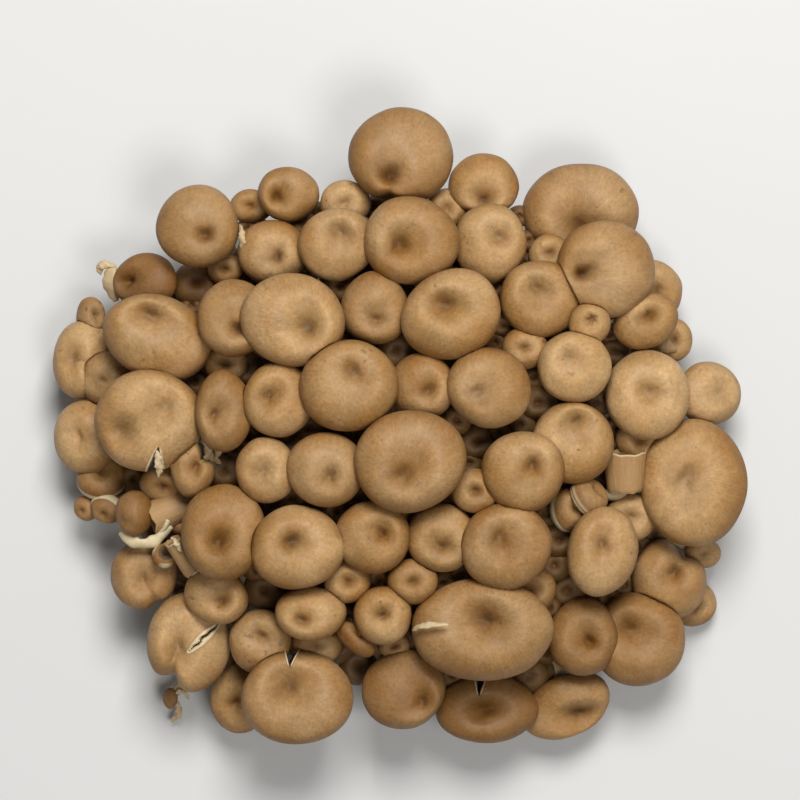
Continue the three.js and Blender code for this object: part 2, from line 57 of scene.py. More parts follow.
# one row a cap. lift: above the dome, eye: where the hollow sits, depth and width: of the hollow,
# lean: degrees and towards where, cleft: towards, depth, width, dent: where, depth, width
capRows = [
    # along the top
    row(0.2, 56.3, 10.9, 10.1, 5, eye=(-0.23, -0.42), depth=0.35, cleft=(-102, 0.14, 12)),
    row(17.6, 50.4, 7.4, 6.5, 0, eye=(0, -0.45)),
    row(-23.5, 48.5, 6.5, 5.7, 0, eye=(-0.4, -0.1), depth=0.42),
    # upper right
    row(38.2, 44.7, 12.2, 10.5, -2, eye=(-0.03, -0.27)),
    row(42.8, 32.6, 10.3, 10.1, 6, eye=(-0.48, -0.1), depth=0.38),
    row(53.6, 28.4, 6.6, 6.6, -3, lean=(20, 20), depth=0.12),
    row(51.5, 21.8, 7, 5.6, 4, turn=25, eye=(0.1, 0.2)),
    row(39.5, 21.2, 4.4, 4.4, 4, eye=(0.1, 0.2)),
    row(36.3, 12.2, 7.7, 7.4, 2, eye=(-0.2, 0.3), depth=0.12),
    # right
    row(51.9, 6.3, 8.8, 9.4, 2, eye=(0, 0.05), width=0.52),
    row(65.9, 6.7, 7.5, 6.8, 1, lean=(30, 10), depth=0.12),
    row(61.7, -12.2, 11.3, 13.3, 5, eye=(-0.15, 0.1), depth=0.22, width=0.4),
    row(36.1, -3.6, 8.5, 8.5, 0, eye=(0.1, 0.55)),
    row(42.2, -26.3, 7.3, 9.4, 5, turn=-12, eye=(-0.03, 0.2)),
    row(57.1, -32.6, 8, 8.8, -1, eye=(0.1, 0.15), cleft=(60, 0.35, 32)),
    # along the bottom
    row(50.4, -45.4, 10, 9.9, 2, eye=(-0.2, 0.2), depth=0.4, width=0.4,
        twin=row(38.6, -44.8, 7.4, 8.2, 0, eye=(0.15, -0.1), depth=0.38)),
    row(35.5, -60.3, 9.8, 7, -1, turn=25, eye=(0.3, -0.1), depth=0.45, width=0.5, lean=(28, -62)),
    row(18.3, -60.1, 10.8, 7.3, -1, depth=0.42, width=0.5, cleft=(97, 0.2, 12)),
    row(17.2, -42.6, 14.9, 10.5, 4, eye=(0.05, 0.15), depth=0.42, width=0.42),
    row(0.8, -55.7, 8.9, 8.2, 0, turn=20, eye=(0.45, -0.3)),
    row(-3.6, -39.7, 6.1, 6, 1),
    row(-18.7, -39.3, 7.4, 5.6, 2, eye=(-0.3, -0.2)),
    row(-21.6, -56.9, 11.7, 9.8, 7, eye=(-0.15, 0.2), depth=0.42, width=0.45, lean=(10, 90),
        cleft=(97, 0.12, 10)),
    row(-34.4, -58.6, 6.2, 7.5, -3, lean=(15, -120)),
    row(-29.4, -45.6, 6.5, 6.8, 0, eye=(0.05, 0.2), depth=0.38),
    row(-44.7, -46, 8.9, 10.4, 2, eye=(-0.22, -0.06), cleft=(-117, 0.28, 16)),
    # left
    row(-38.6, -35.9, 6.7, 5.9, 1, turn=-20, eye=(0.2, -0.15)),
    row(-36.8, -22.3, 8.9, 9.8, 4, eye=(-0.1, -0.2), depth=0.38, width=0.42),
    row(-54.2, -31.7, 7, 7.3, 0, eye=(0, -0.1), cleft=(-65, 0.13, 14)),
    row(-43.3, -9.2, 4.6, 5.9, 1, eye=(0.15, 0.1), depth=0.4, cleft=(40, 0.5, 24)),
    row(-66.6, -2.5, 7.1, 7.8, 0, depth=0.14, lean=(20, 180)),
    row(-52.5, 1, 11.2, 10.6, 5, eye=(0.35, 0.3), depth=0.2, width=0.4, dent=(-0.5, -0.2, 0.3, 0.28),
        cleft=(-75, 0.15, 10)),
    row(-36.8, 2.9, 5.9, 8.5, 2, eye=(-0.25, -0.1), depth=0.38),
    row(-62.2, 9.7, 6, 5.8, -1, lean=(15, 200), depth=0.12),
    row(-67.8, 13.9, 6.4, 8.3, 1, lean=(20, 165), depth=0.12, cleft=(-20, 0.3, 25)),
    row(-50.9, 18.5, 11.7, 8.6, 3, turn=-20, eye=(-0.15, 0.45), depth=0.32),
    row(-34.8, 22.3, 7.4, 8.1, 2, eye=(0.15, -0.3), depth=0.38),
    row(-53.8, 30.3, 7, 6, 0, eye=(-0.45, 0), lean=(30, 180), depth=0.4),
    row(-42.4, 41.6, 8.6, 8.6, 6, eye=(0.2, -0.22)),
    # the middle
    row(-26.8, 36.2, 7.4, 6.8, -2, eye=(0.2, -0.2), lean=(10, 150)),
    row(-13.2, 37.8, 8.2, 7.4, 1, turn=20, eye=(0.1, 0.3)),
    row(2.2, 38.4, 9.8, 9.2, 4, eye=(-0.25, -0.1), depth=0.38, width=0.4),
    row(18.9, 38.2, 7.6, 8.2, -1, eye=(0.2, 0.1), lean=(8, 60)),
    row(29.2, 26.4, 8.4, 8, 1, eye=(-0.1, 0.25)),
    row(-22.2, 21.8, 10.8, 9.6, 4, turn=-15, eye=(0.3, -0.15), depth=0.36, width=0.42),
    row(-5.2, 24.2, 7, 7.6, -1, eye=(0, -0.3), lean=(6, -60)),
    row(10.6, 23, 10.4, 9.2, 3, turn=30, eye=(-0.15, 0.2), depth=0.38),
    row(-25.4, 5.4, 7.4, 7.8, 0, eye=(-0.2, 0.1), lean=(8, 170)),
    row(-10.6, 8.2, 10.2, 9.4, 3, eye=(0.1, 0.3), width=0.42),
    row(4.6, 8, 6.8, 7, -2, eye=(0.2, -0.1)),
    row(18.4, 7.8, 8.8, 8.2, 2, turn=-25, eye=(-0.3, -0.1), depth=0.2),
    row(-28, -9.4, 6.4, 6.8, 0, lean=(10, 200)),
    row(-15.4, -9.2, 8, 7.8, 1, eye=(0.1, -0.2)),
    row(2, -7.4, 11.6, 10.4, 5, turn=15, eye=(-0.1, -0.25), depth=0.4, width=0.42),
    row(25.6, -9.6, 8.6, 8.4, 2, eye=(0.2, 0.15), depth=0.36),
    row(-21.4, -25.4, 9.6, 8.8, 3, eye=(-0.1, 0.15), depth=0.38),
    row(-5.6, -23.2, 7.8, 7.6, 0, eye=(0.25, 0.1)),
    row(8.6, -23.6, 7.4, 7.2, -2, eye=(0, -0.2), lean=(8, -90)),
    row(22, -25, 9.4, 9, 3, turn=20, eye=(-0.15, 0.2), width=0.4),
]

# young ones in the gaps
buttonRows = [
    row(-11.5, 46.6, 5.2, 4.9, -2),
    row(9.9, 45.6, 4.3, 4.2, -4),
    row(31.5, 36, 4.4, 4.2, -3),
    row(58, 18, 4, 4.6, -4),
    row(39.6, -14.8, 4.4, 4.4, -1, lean=(62, 35)),
    row(35.8, -17.6, 4.2, 4.7, -4, lean=(35, 20), tall=1.3),
    row(64.6, -27.4, 3.9, 3.2, -3, depth=0.1),
    row(-9.2, -44.6, 4.9, 2.4, 0, turn=-42, lean=(45, 48)),
    row(-17.6, -46.6, 5.4, 4, -5, depth=0.1),
    row(-49.4, -27.4, 2.7, 2.6, 2, lean=(30, 60)),
    row(-56, -18.6, 3.9, 4.8, 4, lean=(25, 200), tall=1.3, depth=0),
    row(-66.8, -17.8, 2.9, 2.7, -1, lean=(30, -150), depth=0.12),
    row(-62.2, -17.8, 3.6, 3.3, -1, lean=(40, -120), depth=0.15),
    row(-63.4, -11, 5.4, 5.2, -3, lean=(35, 100)),
    row(-49.8, -12.6, 5, 3.9, -3, lean=(15, -80)),
    row(-65.4, 22.9, 3.1, 4.4, 0, lean=(30, 20), tall=1.2),
    row(-31.5, 46.2, 4.5, 3.6, -4),
    row(-36.4, 12.8, 4.6, 4, -5),
    row(-45.6, -18.8, 4.6, 4.4, -5),
    row(-1.2, -46.4, 3.4, 2.8, -5),
    row(-49.1, -58.5, 1.6, 2.2, 0, depth=0),
    row(50.4, -3, 5, 4.6, -4),
    row(-42.8, 29.6, 5.4, 5, -7),
    row(-36.8, 32.8, 3.8, 3.4, -5),
    row(62.6, -31.8, 2.7, 2.4, -4),
    row(48.6, -19.4, 5.4, 5.2, -3),
    row(62.8, -38.4, 5, 4.8, -4),
    row(27.8, -53.4, 4, 4, -8, depth=0.1),
    row(26, 16, 4.8, 4.4, -2),
    row(15.6, -13.6, 4.9, 4.7, -1),
    row(-11, -32.6, 4.8, 4.6, -2),
    row(2.6, -32.6, 5.2, 4.8, -1),
    row(27.6, -34.6, 5.2, 5, -4),
]

# stems that were cut or torn through
stubRows = [
    row(47.2, -9.8, 4.5, 4.4, -2, lean=(84, 91), tall=1.5, rim=0.6),
    row(-45.8, -27.6, 1.9, 1.9, 3, lean=(70, 118), tall=3, rim=0.5),
    row(-47.4, -17.8, 3.7, 3.6, -3, lean=(80, 202), tall=2.4, rim=0.2),
]

# what only some of them have, by their number. tone: darker above 0 and paler below, eyeTone: how dark
# the hollow is, pit: share of the hollow that is a narrow pit, pale: where the rim turns cream
capMarks = dict(
    tone={1: 0.7, 5: 0.2, 8: -0.6, 9: -1.1, 10: -0.8, 11: -0.4, 12: -0.5, 16: 0.7, 18: 0.8, 19: 0.4,
          20: 1.1, 23: 0.3, 27: -0.5, 29: 0.5, 31: -0.5, 32: -0.6, 33: 0.7, 34: -0.6, 35: -0.6, 38: 1.3,
          39: 0.4},
    eyeTone={1: 1, 5: 1, 6: 0, 8: 0.4, 9: 0, 10: 0.2, 11: 0, 17: 0.3, 30: 0, 31: 0.1, 34: 0, 35: 0,
             36: 0.9, 37: 0.8, 39: 0.7},
    pit={1: 0.85, 5: 0.75, 37: 0.7, 39: 0.75},
    star={8: 0.035},
    # a tear from one place to another, in mm from the cap's middle; an open one runs out as a V
    slit={
        18: dict(start=(-1.7, 3.0), end=(-1.4, 7.6), half=1.2, deep=3.5, lips=0.45, raised=0.2, cream=0.6,
                 open=True),
        23: dict(start=(-1.5, 5.9), end=(-1.1, 10.6), half=1.5, deep=4, lips=0.4, raised=0.4, cream=0.9,
                 open=True),
        26: dict(start=(-0.3, -2.2), end=(7.2, 4.8), half=0.32, deep=1.3, lips=0.85, raised=0.4, cream=1,
                 jagged=0.13),
        32: dict(start=(2.2, -5.6), end=(1.2, -12), half=2, deep=4.5, lips=0.6, raised=0.3, cream=0.9,
                 open=True),
    },
)
buttonMarks = dict(
    tone={1: -0.4, 3: -0.2, 4: -0.5, 5: 0.4, 6: 0.2, 7: -0.7, 8: 0.9, 9: -1.2, 10: 0.9, 11: 1.1, 12: 0.7,
          13: 0.6, 14: 0.3, 21: 0.9, 25: -0.7},
    eyeTone={1: 0.1, 3: 0.1, 7: 0, 9: 0, 12: 0.2, 13: 0.2},
    pale={5: 0.98, 6: 0.97, 12: 1.0, 13: 0.9, 14: 0.97},
    cup={10: True},
)


def marksOf(marks, number):
    return {kind: having[number] for kind, having in marks.items() if number in having}


def drawn(seed, which):  # always the same number from 0 to 1 for the same two seeds
    wide = math.sin(seed * 12.9898 + which * 78.233) * 43758.5453
    return wide - math.floor(wide)


def stacked(*parts):  # a row for each point of x, y and z, or for each face of its corners
    return np.stack(np.broadcast_arrays(*parts), -1).reshape(-1, len(parts))


def bell(x, width):
    return np.exp(-((x / width) ** 2))


def smooth(x, low, high):
    t = np.clip((x - low) / (high - low), 0, 1)
    return t * t * (3 - 2 * t)


def unit(rows):
    return rows / np.linalg.norm(rows, axis=1)[:, None]


def domeAt(x, y):
    out = np.hypot(x, y) / cluster["domeRadius"]
    return cluster["domeHeight"] - cluster["domeDrop"] * out ** cluster["domeCurve"]


def colour(code):  # a web colour as linear light
    parts = [int(code[i:i + 2], 16) / 255 for i in (0, 2, 4)]
    return tuple(p / 12.92 if p <= 0.04045 else ((p + 0.055) / 1.055) ** 2.4 for p in parts) + (1,)


capShape = dict(
    # from the middle of the crown to the rim and back under it: shares of radius and thickness
    section=[(0, 0.52), (0.24, 0.51), (0.6, 0.43), (0.94, 0.14), (1, -0.2), (0.78, -0.36), (0.44, -0.12),
             (0, -0.12)],
    pieces=[5, 5, 6, 6, 6, 6, 3],  # how finely each stretch of the section is cut
    buttonPieces=[3, 3, 4, 4, 4, 3, 2],
    usualRadius=8,
    usualThickness=9,
    thicknessPower=0.8,
    eyeDepth=0.3,
    eyeWidth=0.33,
    eyeShiftPower=1.5,
    eyeOval=0.22,
    pitLeast=0.2,  # share of the hollow that is a narrow pit
    pitMore=0.35,
    edgeWaves={2: 0.024, 3: 0.024, 5: 0.013, 7: 0.007, 11: 0.003},  # how many round the outline: how high
    lumps=0.042,  # share of the thickness that the skin rolls up and down
    lumpWaves=6,
    tilt=0.05,  # one side of the crown stands higher than the other
    fold=0.7,  # how far the crown sinks along a cleft
    gills=30,
    gillDepth=0.075,
    sides=108,
    buttonSides=44,
    tornSides=200,  # of a cap with a slit, crowded round it
    crowd=0.65,
    tearBack=0.32,  # how far the rim stands back behind a tear
    dentTone=0.6,
)


def heightOf(cap):
    return domeAt(*cap["at"]) + cap["lift"]


def capFrame(cap):
    angle, towards = cap.get("lean", (0, 0))
    side = math.radians(towards)
    hinge = Vector((-math.sin(side), math.cos(side), 0))
    turn = np.array(Matrix.Rotation(math.radians(angle), 3, hinge))
    return turn, np.array((*cap["at"], heightOf(cap)))


def capSize(cap):
    radius = sum(cap["r"]) / 2
    grow = (radius / capShape["usualRadius"]) ** capShape["thicknessPower"]
    return radius, capShape["usualThickness"] * grow * cap.get("tall", 1)


def smoothSection(section, pieces, finer=1):  # a round curve through its corners, without its two ends
    points = np.array(section, float)
    first = points[1] * (-1, 1)
    last = points[-2] * (-1, 1)
    points = np.vstack([first, points, last])
    found = []
    for i, count in enumerate(pieces):
        count *= finer
        a, b, c, d = points[i:i + 4]
        for t in np.arange(count) / count:
            found.append(0.5 * (2 * b + (c - a) * t + (2 * a - 5 * b + 4 * c - d) * t ** 2
                                + (3 * b - a - 3 * c + d) * t ** 3))
    return np.array(found[1:])


def slitAt(x, y, slit):  # how deep in the slit a point is, and how far up on its lips
    start, end = np.array(slit["start"]), np.array(slit["end"])
    length = np.hypot(*(end - start))
    way = (end - start) / length
    along = ((x - start[0]) * way[0] + (y - start[1]) * way[1]) / length
    across = (y - start[1]) * way[0] - (x - start[0]) * way[1]
    side = np.abs(across)
    ends = smooth(along, -0.02, 0.1)
    half = slit["half"] * np.clip(along, 0, 1.2)
    lips = slit["lips"] * np.sqrt(ends.clip(0.04))
    lens = np.sin(math.pi * np.clip(along, 0, 1))
    if not slit.get("open"):  # pointed at both ends
        ends = ends * smooth(along, 1.02, 0.9)
        half = slit["half"] * lens ** 0.7
        lips = slit["lips"] * (0.12 + 0.88 * lens)
    wander = slit.get("jagged", 0) * lens * (np.sin(15 * along) + np.sin(28 * along + 1))
    gap = smooth(half - np.abs(across - wander), -0.12, 0.18) * ends
    lip = smooth(side - half, 1.25 * lips, 0.6 * lips) * ends * (1 - gap)
    return gap, lip


def capPoints(cap, marks, seed, share, height, direction, under):
    radius, thickness = capSize(cap)
    eyeX, eyeY = cap.get("eye", (0, 0))
    turn = math.radians(cap.get("turn", 0))
    reach = share + 0 * direction
    for lobe, wave in capShape["edgeWaves"].items():
        wave = wave * (drawn(seed, lobe + 10) - 0.2)
        reach = reach * (1 + wave * np.cos(lobe * direction + drawn(seed, lobe) * 2 * math.pi))
    onTop = smooth(height, -0.15, 0.12)
    width = cap.get("width", capShape["eyeWidth"])
    width = width * (1 + capShape["eyeOval"] * np.cos(2 * direction + 6 * drawn(seed, 40)))
    pit = marks.get("pit", capShape["pitLeast"] + capShape["pitMore"] * drawn(seed, 41))
    hollow = (1 - pit) * bell(share, width * 1.25) + (pit + 0.1) * bell(share, width * 0.45)
    rise = height - onTop * cap.get("depth", capShape["eyeDepth"]) * hollow
    rise = rise + onTop * capShape["tilt"] * share ** 2 * np.cos(direction - 6 * drawn(seed, 42))
    if "star" in marks:
        rise = rise + marks["star"] * np.cos(5 * direction) * bell(share - 0.2, 0.14)
    if "cleft" in cap and not marks.get("slit", {}).get("open"):
        towards, deep, wide = cap["cleft"]
        away = np.abs((np.degrees(direction) - towards + 540) % 360 - 180) / wide
        inFold = bell(away, 1) * np.minimum(1, share * 1.2)
        reach = reach * (1 - deep * inFold)
        rise = rise - onTop * deep * inFold * capShape["fold"]
    shift = radius * (1 - share ** capShape["eyeShiftPower"])
    along = cap["r"][0] * reach * np.cos(direction - turn)
    across = cap["r"][1] * reach * np.sin(direction - turn)
    x = along * math.cos(turn) - across * math.sin(turn) + eyeX * shift
    y = along * math.sin(turn) + across * math.cos(turn) + eyeY * shift
    torn, dark, lump = 0, 0, 0
    if "dent" in cap:
        dentX, dentY, deep, wide = cap["dent"]
        dent = bell(np.hypot(x / radius - dentX, y / radius - dentY), wide)
        rise = rise - onTop * deep * dent
        dark = onTop * capShape["dentTone"] * dent
    for k in range(capShape["lumpWaves"]):
        fineness = (1.6 + 1.5 * k) / radius
        way = drawn(seed, 20 + k) * 2 * math.pi
        start = 6 * drawn(seed, 30 + k)
        lump = lump + np.sin((x * math.cos(way) + y * math.sin(way)) * fineness + start) / (1 + k)
    rise = rise + capShape["lumps"] * lump * onTop * smooth(share, 0, 0.4)
    wave = np.abs((direction * capShape["gills"] / (2 * math.pi)) % 1 - 0.5) * 2
    rise = rise - capShape["gillDepth"] * wave * under
    z = rise * thickness
    if "slit" in marks:
        slit = marks["slit"]
        gap, lip = slitAt(x, y, slit)
        z = z - gap * onTop * slit["deep"] + lip * onTop * slit["raised"]
        torn = np.maximum(gap, lip) * slit["cream"]
        # painted shade deep in the slit
        dark = np.maximum(dark, smooth(gap, 0.5, 1))
        if slit.get("open"):  # the rim stands back behind the tear
            back = 1 - capShape["tearBack"] * gap * smooth(share, 0.6, 0.95)
            x, y = x * back, y * back
    return stacked(x, y, z), torn + 0 * z, dark + 0 * z


# others: the caps that may lie on it
def capSurface(cap, seed, marks, others, sides=capShape["sides"], pieces=capShape["pieces"]):
    finer = 2 if "slit" in marks else 1
    section = smoothSection(capShape["section"], pieces, finer)
    share, height = section.T[:, None, :]
    rings = len(section)
    bend = np.cumsum(pieces) * finer
    ring = np.arange(1, rings + 1)[None, :]
    below = ring > bend[3]
    under = smooth(ring, bend[3] + finer, bend[4] + 2 * finer) * below
    direction = np.arange(sides) / sides * 2 * math.pi
    if "slit" in marks:  # more of them near the slit
        sides = capShape["tornSides"]
        t = np.arange(sides) / sides - 0.5
        middle = np.add(marks["slit"]["start"], marks["slit"]["end"]) / 2
        crowd = capShape["crowd"]
        direction = math.atan2(middle[1], middle[0]) + 2 * math.pi * ((1 - crowd) * t + 4 * crowd * t ** 3)
    direction = direction[:, None]
    places, torn, dark = capPoints(cap, marks, seed, share, height, direction, under)
    out = np.where(below, 2 - share, share) + 0 * direction
    if "pale" in marks:
        torn = np.maximum(torn, smooth(out, marks["pale"], marks["pale"] + 0.06))
    # painted shade on a small cap that lies low in a gap
    if "shade" in marks:
        dark = np.maximum(dark, 0.3 + 0.6 * marks["shade"])
    # a cup: a cream torn rim, and painted shade inside it
    if "cup" in marks:
        torn = smooth(out, 0.75, 0.9) * smooth(out, 1.12, 1.0) * (0.42 + 0.25 * np.sin(3 * direction))
        dark = smooth(out, 0.75, 0.55)
    pit = {"pit": marks["pit"]} if "pit" in marks else {}
    ends = np.array([[capShape["section"][0][1], capShape["section"][-1][1]]])
    middles = capPoints(cap, pit, seed, np.zeros((1, 2)), ends, np.zeros((1, 1)), 0)[0]
    turn, origin = capFrame(cap)
    points = np.vstack([places, middles]) @ turn.T + origin
    points = pressUnder(points, cap, others)
    spoke = stacked(np.cos(direction), np.sin(direction), out * 0.15)
    facts = dict(
        out=np.append(out, (0, 2)),
        torn=np.append(torn, (0, 0)),
        dark=np.append(dark, (0, 0)),
        tone=np.full(len(points), drawn(seed, 50) * 0.7 + marks.get("tone", 0)),
        eyeTone=np.full(len(points), marks.get("eyeTone", drawn(seed, 51))),
        spoke=np.vstack([spoke, (0, 0, 0), (0, 0, 0)]),
    )
    return points, ringFaces(sides, rings), facts


def sideFaces(sides, rings):  # of a turned surface whose points run from top to bottom, side after side
    side, ring = np.arange(sides)[:, None], np.arange(rings - 1)[None, :]
    here = side * rings + ring
    after = (side + 1) % sides * rings + ring
    return stacked(here, here + 1, after + 1, after).tolist()


def ringFaces(sides, rings):  # the same, closed on two more points, the middles of its top and bottom
    faces = sideFaces(sides, rings)
    top, bottom = sides * rings, sides * rings + 1
    for side in range(sides):
        following = (side + 1) % sides
        faces.append((top, side * rings, following * rings))
        faces.append((bottom, following * rings + rings - 1, side * rings + rings - 1))
    return faces


def tubeFaces(steps, sides):  # of a tube whose points run round it, ring after ring
    ring, side = np.arange(steps - 1)[:, None] * sides, np.arange(sides)[None, :]
    after = ring + (side + 1) % sides
    return stacked(ring + side, after, after + sides, ring + side + sides).tolist()


def inOutline(row, x, y):  # a place as shares of the row's own half length and half width
    turn = math.radians(row.get("turn", 0))
    along = (x * math.cos(turn) + y * math.sin(turn)) / row["r"][0]
    across = (y * math.cos(turn) - x * math.sin(turn)) / row["r"][1]
    return along, across


press = dict(middle=0.06, half=0.47, most=0.3)  # of the upper cap: shares of its thickness, of its size


def pressUnder(points, row, others):  # where a higher cap lies on this one, it is pressed in
    for upper in others:
        if math.dist(upper["at"], row["at"]) >= max(upper["r"]) + max(row["r"]):
            continue
        turn, origin = capFrame(upper)
        thickness = capSize(upper)[1]
        local = (points - origin) @ turn
        along, across = inOutline(upper, local[:, 0], local[:, 1])
        middle = press["middle"] * thickness
        rise = (local[:, 2] - middle) / (press["half"] * thickness)
        distance = np.sqrt(along ** 2 + across ** 2 + rise ** 2)
        inside = distance < 1
        if inside.any():
            push = np.where(inside, 1 / np.maximum(distance, press["most"]), 1)[:, None]
            centre = np.array((0, 0, middle))
            moved = ((local - centre) * push + centre) @ turn.T + origin
            points = np.where(inside[:, None], moved, points)
    return points


def addPiece(name, mesh, facts, material):
    mesh.shade_smooth()
    for fact, values in facts.items():
        values = np.asarray(values, np.float32)
        kind, key = ("FLOAT_VECTOR", "vector") if values.ndim == 2 else ("FLOAT", "value")
        mesh.attributes.new(fact, kind, "POINT").data.foreach_set(key, values.ravel())
    mesh.materials.append(material)
    piece = bpy.data.objects.new(name, mesh)
    bpy.context.scene.collection.objects.link(piece)
    return piece


def makeMesh(name, points, faces, facts, material):
    mesh = bpy.data.meshes.new(name)
    mesh.from_pydata((points * mm).tolist(), [], faces)
    mesh.validate()
    return addPiece(name, mesh, facts, material)


def joined(surfaces):  # several closed surfaces as one
    points, faces, facts, start = [], [], {}, 0
    for surface in surfaces:
        points.append(surface[0])
        faces += [tuple(i + start for i in face) for face in surface[1]]
        for fact, values in surface[2].items():
            facts.setdefault(fact, []).append(values)
        start += len(surface[0])
    return np.vstack(points), faces, {fact: np.concatenate(values) for fact, values in facts.items()}


def addNode(tree, kind, values=None, **settings):
    node = tree.nodes.new("ShaderNode" + kind)
    for name, value in settings.items():
        setattr(node, name, value)
    for name, value in (values or {}).items():
        if isinstance(value, bpy.types.NodeSocket):
            tree.links.new(value, node.inputs[name])
        else:
            node.inputs[name].default_value = value
    return node


def newMaterial(name):
    material = bpy.data.materials.new(name)
    material.use_nodes = True
    tree = material.node_tree
    return material, tree, tree.nodes["Principled BSDF"]


def fact(tree, name, output="Fac"):
    return addNode(tree, "Attribute", attribute_name=name).outputs[output]


def plus(tree, a, b):
    return addNode(tree, "Math", {0: a, 1: b}, operation="ADD").outputs[0]


def times(tree, *factors):
    product = factors[0]
    for factor in factors[1:]:
        product = addNode(tree, "Math", {0: product, 1: factor}, operation="MULTIPLY").outputs[0]
    return product


def stretched(tree, name, scale):  # a fact's direction as a place in a pattern
    values = {0: fact(tree, name, "Vector"), "Scale": scale}
    return addNode(tree, "VectorMath", values, operation="SCALE").outputs[0]


def span(tree, value, low, high, start=0.0, end=1.0):
    values = {"Value": value, "From Min": low, "From Max": high, "To Min": start, "To Max": end}
    return addNode(tree, "MapRange", values).outputs["Result"]


def noise(tree, where, scale, detail=3.0, roughness=0.55):
    values = {"Vector": where, "Scale": scale, "Detail": detail, "Roughness": roughness}
    return addNode(tree, "TexNoise", values).outputs["Fac"]


def mixed(tree, factor, a, b, blend="MIX"):
    node = addNode(tree, "Mix", data_type="RGBA", blend_type=blend)
    for index, value in ((0, factor), (6, a), (7, b)):
        if isinstance(value, bpy.types.NodeSocket):
            tree.links.new(value, node.inputs[index])
        else:
            node.inputs[index].default_value = value
    return node.outputs[2]


def over(tree, base, code, amount):  # a colour laid over another
    return mixed(tree, amount, base, colour(code))


def shaded(tree, base, *shades):
    shade = times(tree, *shades)
    grey = addNode(tree, "CombineColor", {0: shade, 1: shade, 2: shade}).outputs[0]
    return mixed(tree, 1.0, base, grey, "MULTIPLY")


def ramp(tree, value, stops):
    node = addNode(tree, "ValToRGB", {"Fac": value})
    marks = node.color_ramp.elements
    marks[0].position, marks[0].color = stops[0][0], colour(stops[0][1])
    marks[1].position, marks[1].color = stops[-1][0], colour(stops[-1][1])
    for position, code in stops[1:-1]:
        mark = marks.new(position)
        mark.color = colour(code)
    return node.outputs["Color"]


def finishMaterial(tree, shader, look, base, height):
    bump = addNode(tree, "Bump", {"Height": height, **look["bump"]})
    tree.links.new(base, shader.inputs["Base Color"])
    tree.links.new(bump.outputs[0], shader.inputs["Normal"])
    for name, value in look["shader"].items():
        shader.inputs[name].default_value = value


skinLook = dict(
    # from the eye out over the crown to the rim and under it to the gills; the darker band at the rim is
    # partly the cap's own darker margin and partly painted shade, and the darkest stop just under the rim is
    # painted shade
    tones=[(0.0, "744d1d"), (0.08, "8c632f"), (0.17, "9c7643"), (0.3, "ae8754"), (0.4, "a37a46"),
           (0.5, "875f30"), (0.57, "694825"), (0.63, "a28253"), (0.7, "b39a70"), (1.0, "bda880")],
    # eye: the cap's own darker brown in the hollow, with painted shade; core: painted shade in the narrow
    # pit
    eye="5c3913",
    core="2b1a0a",
    paler="c7a576",
    rust="9a6424",
    darker="6e4617",
    specks="503618",
    gills=("c4b189", "a89169"),
    flesh="cdbb96",
    # slit: the colour the dark fact mixes in, as painted shade in slits, the cup and low small caps, and in
    # the darker dent
    slit="4e3a20",
    eyeSize=0.38,
    coreSize=0.13,
    wander=0.16,  # how far the tones stray from even rings
    # how fine each pattern is
    scale=dict(cloud=190, grain=1300, pores=420, patch=75, rust=130, specks=620, speckFields=110, spoke=9.0,
               fibres=3.2, flecks=11, fleckFields=160),
    # how strongly it shows
    show=dict(patch=0.62, rust=0.4, specks=0.5, flecks=0.5, gills=0.6),
    smoothest=0.48,
    roughest=0.64,
    bump={"Strength": 0.6, "Distance": 0.0004},
    shader={"Subsurface Weight": 0.2, "Subsurface Radius": (1.0, 0.55, 0.3), "Subsurface Scale": 0.0012,
            "Specular IOR Level": 0.32, "Coat Weight": 0.05, "Coat Roughness": 0.3},
)


